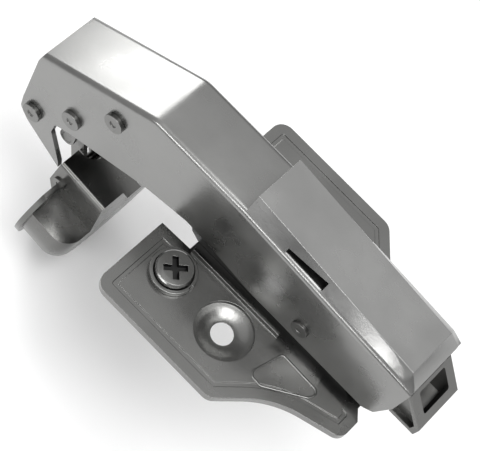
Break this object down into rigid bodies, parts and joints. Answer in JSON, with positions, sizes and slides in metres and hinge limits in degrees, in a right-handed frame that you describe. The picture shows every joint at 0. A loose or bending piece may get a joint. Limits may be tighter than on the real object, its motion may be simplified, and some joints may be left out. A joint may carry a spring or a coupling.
{
  "type": "concealed cup hinge",
  "caption": "Clip-on concealed cabinet hinge with a wide opening angle: cup, folding links, cranked arm with cover, and an adjustable winged mounting plate.",
  "frame": {"origin": "midway between the two panel screws, on the cabinet panel", "axes": "+X back along the arm into the cabinet, +Y across the hinge, +Z out from the panel"},
  "size_m": [0.1043, 0.057, 0.0772],
  "materials": {
    "plated_sheet": "bright nickel plate",
    "pin_steel": "satin",
    "screw_steel": "polished plate",
    "spring_steel": "oiled wire"
  },
  "bodies": {
    "base": {"mounting_base": "plated_sheet"},
    "wing": {"wing_plate": "plated_sheet", "cam_collar": "plated_sheet", "clip_channel": "plated_sheet", "lever_pin": "pin_steel", "release_spring": "spring_steel"},
    "height_cam": {"height_cam": "screw_steel"},
    "carriage": {"depth_carriage": "plated_sheet"},
    "depth_cam": {"depth_cam": "screw_steel"},
    "side_screw": {"side_screw": "screw_steel"},
    "lever": {"release_lever": "plated_sheet"},
    "arm": {"hinge_arm": "plated_sheet", "cover_cap": "plated_sheet", "nose_rivets": "pin_steel", "link_rivets": "pin_steel", "guide_pin": "pin_steel", "tilt_pin": "pin_steel", "closing_spring": "spring_steel"},
    "outer_link": {"outer_link": "plated_sheet", "cross_pin": "pin_steel"},
    "inner_link": {"inner_link": "plated_sheet", "guide_link_pin": "pin_steel"},
    "guide_link": {"guide_link": "plated_sheet"},
    "cup": {"hinge_cup": "plated_sheet", "cup_pin": "pin_steel"}
  },
  "joints": [
    {"name": "height_slide", "type": "slide", "parent": "base", "child": "wing", "axis": [0, 1, 0], "range_m": [-0.00169, 0.00169]},
    {"name": "height_cam_turn", "type": "hinge", "parent": "wing", "child": "height_cam", "pos_m": [-0.0154, -0.0152, 0.002], "axis": [0, 0, 1], "range_deg": [-50.5, 50.5]},
    {"name": "depth_slide", "type": "slide", "parent": "wing", "child": "carriage", "axis": [1, 0, 0], "range_m": [-0.00169, 0.00169]},
    {"name": "depth_cam_turn", "type": "hinge", "parent": "wing", "child": "depth_cam", "pos_m": [0.0035, 0, 0.015], "axis": [0, 0, 1], "range_deg": [-50.5, 50.5]},
    {"name": "arm_tilt", "type": "hinge", "parent": "carriage", "child": "arm", "pos_m": [0.0102, 0, 0.0096], "axis": [0, 1, 0], "range_deg": [-1.5, 1.5]},
    {"name": "side_screw_turn", "type": "hinge", "parent": "carriage", "child": "side_screw", "pos_m": [-0.006, 0, 0.014], "axis": [0, 0, 1], "range_deg": [-225, 225]},
    {"name": "lever_release", "type": "hinge", "parent": "wing", "child": "lever", "pos_m": [0.0245, 0, 0.01], "axis": [0, 1, 0], "range_deg": [0, 12], "stiffness_Nm_per_rad": 0.03, "springref_deg": -20.05},
    {"name": "cup_fold", "type": "hinge", "parent": "inner_link", "child": "cup", "pos_m": [-0.04824, 0, -0.01937], "axis": [0, 1, 0], "range_deg": [0, 134.7]},
    {"name": "outer_link_turn", "type": "hinge", "parent": "arm", "child": "outer_link", "pos_m": [-0.0518, 0, 0.0035], "axis": [0, 1, 0], "range_deg": [0, 47.5]},
    {"name": "inner_link_turn", "type": "hinge", "parent": "outer_link", "child": "inner_link", "pos_m": [-0.05206, 0, -0.00702], "axis": [0, 1, 0], "range_deg": [-9.2, 0]},
    {"name": "guide_link_turn", "type": "hinge", "parent": "arm", "child": "guide_link", "pos_m": [-0.0432, 0, 0.0155], "axis": [0, 1, 0], "range_deg": [-11.5, 0]}
  ],
  "couplings": [
    {"joint": "height_cam_turn", "follows": "height_slide", "rad_per_m": -517.5},
    {"joint": "depth_cam_turn", "follows": "depth_slide", "rad_per_m": 517.5},
    {"joint": "side_screw_turn", "follows": "arm_tilt", "ratio": -145.4},
    {"joint": "outer_link_turn", "follows": "cup_fold", "ratio": 0.3516},
    {"joint": "inner_link_turn", "follows": "cup_fold", "ratio": -0.06726},
    {"joint": "guide_link_turn", "follows": "cup_fold", "ratio": -0.08456}
  ]
}
